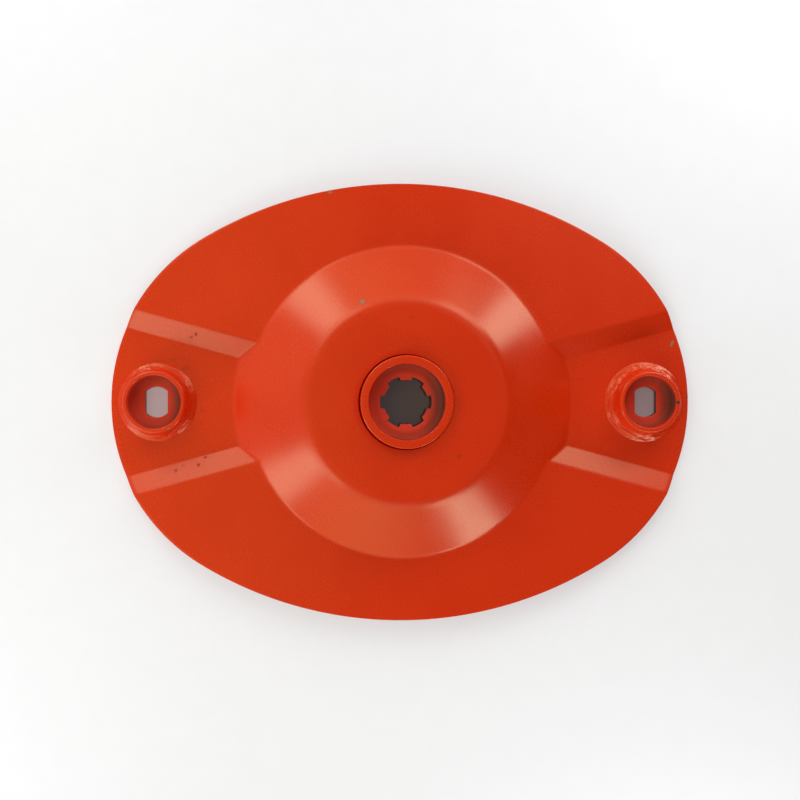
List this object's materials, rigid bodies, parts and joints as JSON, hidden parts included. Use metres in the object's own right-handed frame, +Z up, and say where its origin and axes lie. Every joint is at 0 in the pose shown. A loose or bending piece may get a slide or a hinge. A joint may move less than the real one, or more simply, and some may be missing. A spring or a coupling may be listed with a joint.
{
  "type": "mower cutting disc",
  "caption": "Oval pressed-steel cutting disc for a rotary mower, with a raised dome, a splined hub and welded nut guards over sunk blade seats.",
  "frame": {"origin": "on the spin axis, in the plane of the blade seats' undersides, on which the disc lies", "axes": "+Z up along the spin axis, +X towards the right blade bolt, +Y across the disc"},
  "size_m": [0.4, 0.3, 0.044],
  "materials": {
    "red_paint": "satin enamel"
  },
  "bodies": {
    "root": {"pressed_disc": "red_paint", "splined_hub": "red_paint", "hub_weld": "red_paint", "left_nut_guard": "red_paint", "right_nut_guard": "red_paint", "left_guard_weld": "red_paint", "right_guard_weld": "red_paint"}
  },
  "joints": []
}
